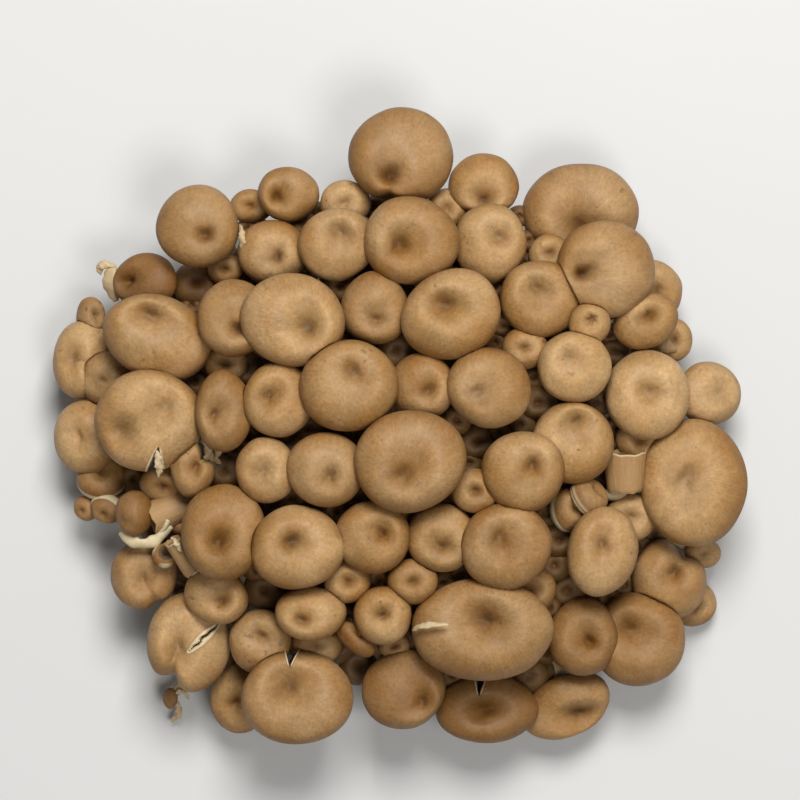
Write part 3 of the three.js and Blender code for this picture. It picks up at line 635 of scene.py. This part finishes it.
def makeSkin():
    material, tree, shader = newMaterial("capSkin")
    look, scale, show = skinLook, skinLook["scale"], skinLook["show"]
    place = addNode(tree, "TexCoord").outputs["Object"]
    out, tone, eyeTone = [fact(tree, name) for name in ("out", "tone", "eyeTone")]
    broad = noise(tree, place, scale["cloud"], 4, 0.6)
    fine = noise(tree, place, scale["grain"], 4, 0.65)
    spoke = stretched(tree, "spoke", scale["spoke"])
    fibres = noise(tree, spoke, scale["fibres"], 5, 0.65)

    # the rings of tone, and the dark eye: the cap's own darker brown there with painted shade of the hollow,
    # and painted shade in the narrow pit at its core
    wander = times(tree, plus(tree, broad, -0.5), look["wander"])
    strayed = plus(tree, out, wander)
    base = ramp(tree, times(tree, strayed, 0.5), look["tones"])
    near = span(tree, strayed, look["eyeSize"], 0)
    eye = times(tree, near, near, span(tree, eyeTone, 0, 1, 0.15, 0.85))
    base = over(tree, base, look["eye"], eye)
    core = span(tree, plus(tree, out, times(tree, wander, 0.6)), look["coreSize"], 0.0)
    core = times(tree, core, span(tree, eyeTone, 0, 1, 0.3, 0.9))
    base = over(tree, base, look["core"], core)

    # pale and rusty patches, and the cap's own tone, made darker as painted shade on small caps that lie low
    # in a gap
    patch = span(tree, noise(tree, place, scale["patch"], 3, 0.5), 0.38, 0.66)
    base = over(tree, base, look["paler"], times(tree, patch, show["patch"]))
    rust = span(tree, noise(tree, place, scale["rust"], 4, 0.6), 0.52, 0.7)
    base = over(tree, base, look["rust"], times(tree, rust, show["rust"]))
    base = over(tree, base, look["darker"], span(tree, tone, -0.6, 1.9, -0.15, 0.85))
    base = over(tree, base, look["paler"], span(tree, tone, 0, -1.2, 0, 0.75))

    # fibres, grain, clouds, specks, and flecks near the rim
    streaks = span(tree, fibres, 0.3, 0.7, 0.86, 1.1)
    grain = span(tree, fine, 0.25, 0.75, 0.8, 1.17)
    base = shaded(tree, base, streaks, grain, span(tree, broad, 0.3, 0.7, 0.88, 1.1))
    dots = span(tree, noise(tree, place, scale["specks"], 2, 0.5), 0.64, 0.72)
    few = span(tree, noise(tree, place, scale["speckFields"], 2, 0.5), 0.45, 0.65)
    base = over(tree, base, look["specks"], times(tree, dots, few, show["specks"]))
    flecks = span(tree, noise(tree, spoke, scale["flecks"], 3, 0.7), 0.56, 0.68)
    fields = span(tree, noise(tree, place, scale["fleckFields"], 3), 0.42, 0.6)
    rim = times(tree, span(tree, out, 0.45, 0.95), fields)
    base = over(tree, base, look["darker"], times(tree, flecks, rim, show["flecks"]))

    # the gills, what is torn open, and painted shade inside slits, inside the cup and on small caps low in a
    # gap, with the dent darker too
    light, dark = [colour(code) for code in look["gills"]]
    gillTone = mixed(tree, span(tree, fine, 0.3, 0.7), light, dark)
    base = mixed(tree, times(tree, span(tree, out, 1.16, 1.3), show["gills"]), base, gillTone)
    base = over(tree, base, look["flesh"], span(tree, fact(tree, "torn"), 0.3, 0.7))
    base = over(tree, base, look["slit"], span(tree, fact(tree, "dark"), 0.3, 0.9))

    rough = span(tree, plus(tree, fine, broad), 0.7, 1.3, look["smoothest"], look["roughest"])
    tree.links.new(rough, shader.inputs["Roughness"])
    height = plus(tree, times(tree, fine, 0.5), times(tree, fibres, 0.35))
    height = plus(tree, height, times(tree, noise(tree, place, scale["pores"], 3), 0.8))
    finishMaterial(tree, shader, skinLook, base, height)
    return material


stemLook = dict(
    pale="cfbc97",
    warm="b3976a",
    dark="8c6c41",
    # shadow: the colour of the painted shade
    shadow="5b4123",  # between the caps, deep under the dome
    tan="a57d4b",  # of a cut stem's side
    scale=dict(cloud=120, grain=1100, around=6.0, fibres=3.0),
    show=dict(dark=0.45, tan=0.8, shadow=0.9),
    bump={"Strength": 0.5, "Distance": 0.0004},
    shader={"Roughness": 0.55, "Subsurface Weight": 0.25, "Subsurface Radius": (1.0, 0.6, 0.35),
            "Subsurface Scale": 0.002},
)


def makeFlesh():
    material, tree, shader = newMaterial("stemFlesh")
    scale, show = stemLook["scale"], stemLook["show"]
    place = addNode(tree, "TexCoord").outputs["Object"]
    along = fact(tree, "along")
    fibres = noise(tree, stretched(tree, "around", scale["around"]), scale["fibres"], 5, 0.65)
    broad = noise(tree, place, scale["cloud"], 4, 0.6)
    fine = noise(tree, place, scale["grain"], 4, 0.6)
    base = over(tree, colour(stemLook["pale"]), stemLook["warm"], span(tree, broad, 0.35, 0.7))
    base = over(tree, base, stemLook["dark"], times(tree, span(tree, along, 0.75, 0.2), show["dark"]))
    base = over(tree, base, stemLook["tan"], times(tree, span(tree, along, -0.2, -1), show["tan"]))
    # painted shade on stems deep between the caps, in a stub's hollow end and on strips that lie in the
    # shade
    base = over(tree, base, stemLook["shadow"], times(tree, fact(tree, "deep"), show["shadow"]))
    base = over(tree, base, skinLook["flesh"], span(tree, fact(tree, "torn"), 0.3, 0.7))
    streaks = span(tree, fibres, 0.3, 0.7, 0.86, 1.06)
    base = shaded(tree, base, streaks, span(tree, fine, 0.3, 0.7, 0.93, 1.05))
    finishMaterial(tree, shader, stemLook, base, plus(tree, fibres, times(tree, fine, 0.4)))
    return material


def makeCaps(skin):
    for seed, cap in enumerate(capRows, 1):
        marks = marksOf(capMarks, seed)
        higher = [other for other in capRows if other is not cap and heightOf(other) >= heightOf(cap)]
        surfaces = [capSurface(cap, seed, marks, higher)]
        if "twin" in cap:
            surfaces.append(capSurface(cap["twin"], seed + 0.5, marks, higher))
        name = "cap_%02d" % seed
        piece = makeMesh("mushroom_" + name, *joined(surfaces), skin)
        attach(piece, "root")
        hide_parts(name)


pinHeads = dict(
    most=84,
    step=0.9,  # of the grid on which gaps are looked for
    within=62,  # mm from the middle
    least=0.1,  # room between the outlines round it
    under=2.0,  # how far it reaches under its neighbours
    largest=4.4,
    closeness=9,  # its neighbours are this near
    openest=140,  # degrees between two of them, as seen from it
    lift=-10,
    liftMore=3,
    notAmong=-5,  # buttons with less lift lie under the gaps and don't fill them
    sides=24,
)


def roomAt(x, y, rows):  # how far a place is from the nearest outline
    room = np.full(np.shape(x), 99.0)
    for row in rows:
        along, across = inOutline(row, x - row["at"][0], y - row["at"][1])
        room = np.minimum(room, (np.hypot(along, across) - 1) * sum(row["r"]) / 2)
    return room


def closedIn(x, y, rows):  # whether others stand all round a place
    near = [row for row in rows if math.dist(row["at"], (x, y)) - sum(row["r"]) / 2 < pinHeads["closeness"]]
    ways = sorted(math.degrees(math.atan2(row["at"][1] - y, row["at"][0] - x)) for row in near)
    if len(ways) < 3:
        return False
    return max((b - a) % 360 for a, b in zip(ways, ways[1:] + ways[:1])) < pinHeads["openest"]


def findPinHeads():  # the youngest ones, low down where the others leave a gap
    steps = np.arange(-pinHeads["within"], pinHeads["within"], pinHeads["step"])
    x, y = [places.ravel() for places in np.meshgrid(steps, steps)]
    near = np.hypot(x, y) < pinHeads["within"]
    x, y = x[near], y[near]
    rows = capRows + [cap["twin"] for cap in capRows if "twin" in cap] + stubRows
    rows = rows + [row for row in buttonRows if row["lift"] > pinHeads["notAmong"]]
    seen = np.array([closedIn(*place, rows) for place in zip(x, y)])
    x, y = x[seen], y[seen]
    found = []
    for k in range(pinHeads["most"]):
        room = roomAt(x, y, rows + found)
        best = int(np.argmax(room))
        if room[best] < pinHeads["least"]:
            break
        size = min(pinHeads["largest"], room[best] + pinHeads["under"])
        lift = pinHeads["lift"] + pinHeads["liftMore"] * drawn(k, 60)
        found.append(dict(at=(x[best], y[best]), r=(size, size * (0.85 + 0.15 * drawn(k, 61))), lift=lift))
    return found


# painted shade: small caps that lie low in a gap get a darker tone and more of the slit colour
lowShade = dict(darkFrom=3, dark=2, shadeFrom=4.5, shade=0.6, lowest=9)  # of what lies deep in a gap


def makeButtons(skin, pins):
    surfaces = []
    for index, row in enumerate(buttonRows + pins):
        marks = marksOf(buttonMarks, index + 1)
        # painted shade, the lower the darker
        darker = smooth(-row["lift"], lowShade["darkFrom"], lowShade["lowest"]) * lowShade["dark"]
        marks["tone"] = marks.get("tone", 0) + darker
        marks["shade"] = lowShade["shade"] * smooth(-row["lift"], lowShade["shadeFrom"], lowShade["lowest"])
        sides = capShape["buttonSides"] if index < len(buttonRows) else pinHeads["sides"]
        surfaces.append(capSurface(row, index + 301, marks, capRows, sides, capShape["buttonPieces"]))
    piece = makeMesh("small_caps", *joined(surfaces), skin)
    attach(piece, "root")
    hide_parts("base_and_stems")
    print("small caps:", len(surfaces))


stubShape = dict(
    section=[(0, 0.4), (0.5, 0.41), (0.84, 0.42), (0.95, 0.49), (1, 0.46), (0.98, 0.36), (0.93, 0.1),
             (0.85, -0.3), (0.8, -0.45), (0.7, -0.5), (0.4, -0.48), (0, -0.48)],
    pieces=[2, 2, 3, 3, 3, 4, 5, 4, 3, 3, 2],
    sides=64,
    rim=0.92,
    inside=0.6,  # how deep in the shade its hollow end is
)


def stubSurface(row, seed):  # a barrel with a thin pale rim round both of its ends
    section = smoothSection(stubShape["section"], stubShape["pieces"])
    share, height = section.T[:, None, :]
    sides, rings = stubShape["sides"], len(section)
    direction = (np.arange(sides) / sides * 2 * math.pi)[:, None]
    thickness = capSize(row)[1]
    uneven = 1 + 0.03 * np.cos(2 * direction + seed) + 0.02 * np.cos(3 * direction + 2 * seed)
    uneven = uneven + 0.006 * np.cos(17 * direction) + 0.006 * np.cos(29 * direction + seed)
    x = row["r"][0] * share * np.cos(direction) * uneven
    y = row["r"][1] * share * np.sin(direction) * uneven
    z = thickness * (height + 0.02 * np.cos(3 * direction + seed) + 0.012 * np.cos(8 * direction - seed))
    turn, origin = capFrame(row)
    ends = np.array([(0, 0, section[0, 1]), (0, 0, section[-1, 1])]) * thickness
    points = np.vstack([stacked(x, y, z), ends]) @ turn.T + origin
    rim = smooth(share, stubShape["rim"], 0.97) * smooth(height, 0.42, 0.47) + smooth(height, -0.46, -0.49)
    rim = row["rim"] * rim
    inside = smooth(share, 0.8, 0.5) * (height > 0.3) * stubShape["inside"]
    around = stacked(np.cos(direction), np.sin(direction), height * 0.1 + seed)
    facts = dict(
        along=np.full(len(points), -1.0),
        around=np.vstack([around, (0, 0, seed), (0, 0, seed)]),
        torn=np.append(rim + 0 * direction, (0, 0)),
        deep=np.append(inside + 0 * direction, (stubShape["inside"], 0)),
    )
    return points, ringFaces(sides, rings), facts


tornShape = dict(
    steps=30,
    sides=10,
    ragged=0.35,  # where a strip doesn't say
    blunt=0.45,
    up=(0, 0, 1),  # where its flat side faces
)


def strip(start, middle, end, wide, thick, pale, **more):
    return {**tornShape, **dict(path=[start, middle, end], wide=wide, thick=thick, pale=pale), **more}


# strips of torn flesh, all in mm, pale: from tan to cream, deep: how much it lies in the shade
tornRows = [
    strip((-60.4, 33.6, 15.4), (-61.2, 30.4, 15.6), (-60, 26.2, 14.2), 3.8, 1.2, 0.6, up=(-0.4, 0, 1),
          ragged=0.15),
    strip((-63.4, 31.8, 14.2), (-63, 33.8, 15.4), (-60, 33.4, 15.4), 1.9, 1.3, 0.6, up=(-0.2, 0.3, 1),
          ragged=0.25),
    strip((-33.6, 42, 24), (-33, 39, 25), (-33.2, 36.4, 23), 1.5, 0.9, 0.5, up=(-0.2, 0, 1), deep=0.2),
    strip((-41.6, -2.4, 26), (-40.2, -5.4, 25), (-41.4, -8, 24), 1.6, 1, 0.35, up=(0.2, 0, 1), deep=0.2),
    strip((-39.6, -3.4, 26), (-38, -5.6, 25), (-39.4, -7, 24), 1.4, 1, 0.3, up=(0.2, 0, 1), deep=0.2),
    strip((-40.8, -4.2, 25), (-39.6, -6.4, 24), (-37.4, -8, 23), 1.8, 1, 0.2, deep=0.4),
    strip((-50.6, -5.2, 31.6), (-50.2, -8, 30.6), (-50.2, -10.8, 28.6), 1.7, 0.8, 0.8, up=(0.3, 0, 1)),
    strip((-47.6, -23.4, 27.6), (-46.6, -24.8, 28), (-45.6, -26.4, 27.4), 1.2, 1.1, 0.7),
    strip((-44.8, -26.8, 25.1), (-43.8, -26.9, 25.4), (-42.9, -26.5, 25.2), 0.5, 0.5, 0.5),
    strip((-44.6, -28, 25.2), (-43.4, -28.5, 25.4), (-42.6, -28.3, 25.2), 0.5, 0.5, 0.5),
    strip((-58.8, -22.6, 21.4), (-53.6, -24.9, 22), (-48, -21.2, 22), 2.6, 1.6, 1, up=(0, -0.5, 1),
          ragged=0.18, blunt=0.24),
    strip((-50.8, -22.8, 22.4), (-48.8, -20.4, 23.4), (-50.6, -20.2, 22.6), 1.2, 1.1, 0.9, up=(0, -0.5, 1),
          ragged=0.2),
    strip((-48.4, -57.6, 5.8), (-46.4, -57.1, 6.4), (-45.2, -58.6, 5.8), 1.1, 0.9, 0.9, up=(0, 0.3, 1)),
    strip((-48.3, -59, 5.4), (-47.4, -61.4, 3.8), (-49, -63.8, 2.2), 1.5, 1.2, 0.6),
    strip((2.6, -42.6, 32.2), (5.2, -41.4, 35.3), (10, -41.2, 36.5), 1.5, 0.7, 0.75, up=(-0.4, 0.6, 0.8),
          ragged=0.25),
    strip((53.4, 15.4, 15.6), (55.8, 16.8, 16.5), (58.2, 15.4, 15.2), 3.4, 1.8, 0.15, up=(0, 0.2, 1),
          ragged=0.15),
]


def tornSurface(row, seed):
    corners = np.array(row["path"], float)
    steps, sides = tornShape["steps"], tornShape["sides"]
    t = np.linspace(0, 1, steps)[:, None]
    line = (1 - t) ** 2 * corners[0] + 2 * t * (1 - t) * (2 * corners[1] - corners[0] / 2 - corners[2] / 2)
    line = line + t ** 2 * corners[2]
    heading = unit(np.gradient(line, axis=0))
    side = unit(np.cross(heading, np.array(row["up"], float)))
    up = np.cross(side, heading)
    taper = np.sin(math.pi * np.clip(t, 0.02, 0.98)) ** row["blunt"]
    one = sum(np.sin(t * speed + 6 * drawn(seed, speed)) for speed in (9, 17, 31)) / 3
    other = sum(np.sin(t * speed + 6 * drawn(seed, speed + 1)) for speed in (11, 23, 37)) / 3
    angle = (np.arange(sides) * 2 * math.pi / sides)[None, :]
    ragged = row["ragged"]
    edge = np.where(np.cos(angle) > 0, one, other)
    wide = row["wide"] / 2 * taper * (1 + ragged * edge)
    thick = row["thick"] / 2 * taper * (1 + 0.6 * ragged * other)
    ripple = ragged * row["thick"] * np.sin(t * 14 + seed) * np.cos(angle)
    ring = side[:, None, :] * (wide * np.cos(angle))[..., None]
    ring = ring + up[:, None, :] * (thick * np.sin(angle) + ripple)[..., None]
    points = np.vstack([(line[:, None, :] + ring).reshape(-1, 3), line[:1], line[-1:]])
    faces = [tuple(reversed(face[1:] + face[:1])) for face in tubeFaces(steps, sides)]
    for k in range(sides):
        after = (k + 1) % sides
        faces.append((steps * sides, k, after))
        faces.append((steps * sides + 1, (steps - 1) * sides + after, (steps - 1) * sides + k))
    count = len(points)
    facts = dict(
        along=np.full(count, -1.0),
        around=stacked(np.zeros(count), 0, seed),
        torn=np.full(count, 0.3 + 0.4 * row["pale"]),
        deep=np.full(count, row.get("deep", 0)),
    )
    return points, faces, facts


def makeCutStems(flesh):
    surfaces = [stubSurface(row, seed) for seed, row in enumerate(stubRows, 1)]
    surfaces += [tornSurface(row, seed) for seed, row in enumerate(tornRows, 1)]
    piece = makeMesh("cut_stems", *joined(surfaces), flesh)
    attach(piece, "root")
    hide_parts("base_and_stems")


stemShape = dict(
    share=0.38,
    slimmest=1.2,
    stoutest=4.4,
    rootTaper=0.7,
    waist=0.12,
    flare=0.12,  # under the cap
    leaving=0.3,
    arriving=0.35,
    room=0.4,
    rootSpread=78,
    spreadPower=0.9,
    rootDepth=2,
    sides=20,
    steps=28,
    seatShare=0.44,
    seatHeight=-0.18,
    intoCap=0.8,
    voxel=1.05,
)
baseShape = dict(
    radius=29,
    height=19,
    profile=[(0, 1), (0.45, 0.93), (0.8, 0.66), (1, 0.28), (0.92, 0)],  # shares of the two, down to the cut
    foot=0.9,  # the same below the cut
    below=3,
    lumps=0.07,
    sides=72,
    rings=36,
)


def stemPath(cap, into):
    radius, thickness = capSize(cap)
    turn, origin = capFrame(cap)
    eyeX, eyeY = cap.get("eye", (0, 0))
    shift = radius * (1 - stemShape["seatShare"] ** capShape["eyeShiftPower"])
    seat = turn @ np.array((eyeX * shift, eyeY * shift, stemShape["seatHeight"] * thickness + into)) + origin
    axis = turn[:, 2]
    stout = min(stemShape["stoutest"], max(stemShape["slimmest"], stemShape["share"] * radius))
    outward = math.atan2(cap["at"][1], cap["at"][0])
    far = min(1, math.hypot(*cap["at"]) / cluster["domeRadius"])
    spread = math.radians(stemShape["rootSpread"]) * far ** stemShape["spreadPower"]
    flat = math.sin(spread)
    away = np.array((flat * math.cos(outward), flat * math.sin(outward), math.cos(spread)))
    root = away * (baseShape["radius"] - stemShape["rootDepth"])
    root[2] = max(stout + stemShape["room"], away[2] * (baseShape["height"] - stemShape["rootDepth"]))
    reach = np.linalg.norm(seat - root)
    leaving = root + away * reach * stemShape["leaving"]
    arriving = seat - axis * reach * stemShape["arriving"]
    leaving[2] = max(leaving[2], stout + stemShape["room"])
    arriving[2] = max(arriving[2], min(seat[2] - stout / 2, stout + 2 * stemShape["room"]))
    t = np.linspace(0, 1, 200)[:, None]
    line = (1 - t) ** 3 * root + 3 * (1 - t) ** 2 * t * leaving
    line = line + 3 * (1 - t) * t ** 2 * arriving + t ** 3 * seat
    length = np.append(0, np.cumsum(np.linalg.norm(np.diff(line, axis=0), axis=1)))
    even = np.linspace(0, length[-1], stemShape["steps"])
    places = stacked(*[np.interp(even, length, line[:, k]) for k in range(3)])
    heading = np.gradient(places, axis=0)
    heading[-1] = axis
    heading = unit(heading)
    level = np.array((-math.sin(outward), math.cos(outward), 0))
    side = unit(level - heading * (heading @ level)[:, None])
    return places, side, np.cross(heading, side), stout


def stemSurface(cap, seed, into):
    places, side, up, stout = stemPath(cap, into)
    steps, sides = stemShape["steps"], stemShape["sides"]
    along = np.linspace(0, 1, steps)[:, None]
    wide = stout * (1 - stemShape["waist"] * np.sin(math.pi * along))
    wide *= stemShape["rootTaper"] + (1 - stemShape["rootTaper"]) * along
    wide *= 1 + stemShape["flare"] * smooth(along, 0.8, 1)
    angle = np.arange(sides) * 2 * math.pi / sides
    uneven = 1 + 0.06 * np.sin(2 * angle + 6 * drawn(seed, 1) + 2 * along)
    uneven = uneven + 0.04 * np.sin(3 * angle + 6 * drawn(seed, 2) - 4 * along)
    ring = side[:, None, :] * np.cos(angle)[:, None] + up[:, None, :] * np.sin(angle)[:, None]
    points = (places[:, None, :] + ring * (wide * uneven)[..., None]).reshape(-1, 3)
    faces = tubeFaces(steps, sides)
    faces.append(tuple(range(sides - 1, -1, -1)))
    faces.append(tuple((steps - 1) * sides + k for k in range(sides)))
    around = stacked(np.cos(angle), np.sin(angle), along * 0.4 + seed)
    return points, faces, dict(along=np.repeat(along, sides), around=around)


def baseSurface():
    size = baseShape["radius"], baseShape["height"]
    foot = baseShape["foot"] * size[0], -baseShape["below"]
    corners = np.vstack([np.array(baseShape["profile"]) * size, foot])
    sides, rings = baseShape["sides"], baseShape["rings"]
    direction = (np.arange(sides) * 2 * math.pi / sides)[:, None]
    t = np.linspace(0.12, 5, rings)
    reach, rise = [np.interp(t, range(6), corners[:, k])[None, :] for k in (0, 1)]
    lump = 1 + baseShape["lumps"] * (np.sin(5 * direction + t * 0.9) + 0.6 * np.cos(3 * direction))
    points = stacked(reach * lump * np.cos(direction), reach * lump * np.sin(direction), rise)
    faces = sideFaces(sides, rings)
    faces.append(tuple(s * rings for s in range(sides)))
    faces.append(tuple(s * rings + rings - 1 for s in range(sides - 1, -1, -1)))
    around = stacked(np.cos(direction) * 4, np.sin(direction) * 4, t * 0.1)
    return points, faces, dict(along=np.zeros(len(points)), around=around)


# painted shade on the stems and base in the gaps between the caps, in mm
gapShade = dict(outer=70, inner=54, foot=3, head=11, footShare=0.3, depth=9)


def makeStems(flesh, pins):
    surfaces = [baseSurface()]
    into = stemShape["intoCap"]
    for seed, cap in enumerate(capRows, 1):
        surfaces.append(stemSurface(cap, seed, into))
        if "twin" in cap:
            surfaces.append(stemSurface(cap["twin"], seed + 0.5, into))
    surfaces += [stemSurface(row, seed, into) for seed, row in enumerate(buttonRows + pins, 101)]
    surfaces += [stemSurface(row, seed, 0) for seed, row in enumerate(stubRows, 201)]
    points, faces, facts = joined(surfaces)
    rough = makeMesh("rough_stems", points, faces, {}, flesh)
    change = rough.modifiers.new("grown together", "REMESH")
    change.mode = "VOXEL"
    change.voxel_size = stemShape["voxel"] * mm
    change.use_smooth_shade = True
    evaluated = rough.evaluated_get(bpy.context.evaluated_depsgraph_get())
    body = bmesh.new()
    body.from_mesh(evaluated.to_mesh())
    bpy.data.objects.remove(rough)
    for _ in range(2):
        bmesh.ops.smooth_vert(body, verts=body.verts, factor=0.5, use_axis_x=True, use_axis_y=True,
                              use_axis_z=True)
    everything = body.verts[:] + body.edges[:] + body.faces[:]
    cut = bmesh.ops.bisect_plane(body, geom=everything, plane_co=(0, 0, 0), plane_no=(0, 0, -1),
                                 clear_outer=True)
    rim = [e for e in cut["geom_cut"] if isinstance(e, bmesh.types.BMEdge)]
    bmesh.ops.holes_fill(body, edges=rim, sides=0)
    mesh = bpy.data.meshes.new("base_and_stems_flesh")
    body.to_mesh(mesh)
    body.free()
    tree = KDTree(len(points))
    for i, point in enumerate(points * mm):
        tree.insert(point, i)
    tree.balance()
    nearest = [tree.find(v.co)[1] for v in mesh.vertices]
    x, y, z = np.array([v.co for v in mesh.vertices]).T / mm
    # painted shade: darker the deeper a point lies under the dome and the further in it is, weaker near the
    # floor
    low = smooth(z, gapShade["foot"], gapShade["head"])
    inward = smooth(np.hypot(x, y), gapShade["outer"], gapShade["inner"])
    inward = inward * (gapShade["footShare"] + (1 - gapShade["footShare"]) * low)
    facts = dict(
        along=facts["along"][nearest],
        around=facts["around"][nearest],
        deep=smooth(domeAt(x, y) - z, 0, gapShade["depth"]) * inward,
    )
    piece = addPiece("base_and_stems_flesh", mesh, facts, flesh)
    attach(piece, "root")
    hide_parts("base_and_stems")
    print("stems:", len(mesh.polygons), "faces")


studio = dict(
    floorSize=3.0,
    floorTones=("c9c8c6", "cfcecc"),
    floorRoughness=0.7,
    lens=200,
    sensor=36,
    clipEnd=20,
    fieldOfView=0.168,  # metres across the picture
    aim=(0.0, 0.00525, 0.022),
    keyPower=7.2,
    keySize=0.35,
    keyPlace=(0.06, 0.42, 0.72),
    fillPower=2.6,
    fillSize=0.3,
    fillPlace=(0.2, -0.25, 0.8),
    sky=0.17,
)


def makeStudio():
    scene = bpy.context.scene
    half = studio["floorSize"] / 2
    mesh = bpy.data.meshes.new("floor")
    corners = [(-half, -half, 0), (half, -half, 0), (half, half, 0), (-half, half, 0)]
    mesh.from_pydata(corners, [], [(0, 1, 2, 3)])
    material, tree, shader = newMaterial("paleFloor")
    place = addNode(tree, "TexCoord").outputs["Object"]
    one, other = [colour(code) for code in studio["floorTones"]]
    tree.links.new(mixed(tree, noise(tree, place, 6, 2), one, other), shader.inputs["Base Color"])
    shader.inputs["Roughness"].default_value = studio["floorRoughness"]
    mesh.materials.append(material)
    floor = bpy.data.objects.new("floor", mesh)
    scene.collection.objects.link(floor)

    lens = bpy.data.cameras.new("camera")
    lens.lens = studio["lens"]
    lens.sensor_width = studio["sensor"]
    lens.clip_end = studio["clipEnd"]
    camera = bpy.data.objects.new("camera", lens)
    away = studio["fieldOfView"] * studio["lens"] / studio["sensor"]
    camera.location = Vector(studio["aim"]) + Vector((0, 0, away))
    scene.collection.objects.link(camera)
    scene.camera = camera

    for name in ("key", "fill"):
        lamp = bpy.data.lights.new(name, "AREA")
        lamp.energy = studio[name + "Power"]
        lamp.size = studio[name + "Size"]
        light = bpy.data.objects.new(name, lamp)
        light.location = studio[name + "Place"]
        light.rotation_euler = (Vector(studio["aim"]) - light.location).to_track_quat("-Z", "Y").to_euler()
        scene.collection.objects.link(light)

    world = bpy.data.worlds.new("world")
    world.use_nodes = True
    sky = world.node_tree.nodes["Background"]
    sky.inputs["Color"].default_value = (1, 1, 1, 1)
    sky.inputs["Strength"].default_value = studio["sky"]
    scene.world = world
    scene.view_settings.view_transform = "Standard"


makeStudio()
print("studio ready")
skin = makeSkin()
flesh = makeFlesh()
makeCaps(skin)
print("caps ready")
pins = findPinHeads()
print("pin-heads:", len(pins))
makeButtons(skin, pins)
makeCutStems(flesh)
makeStems(flesh, pins)
print("stems ready")
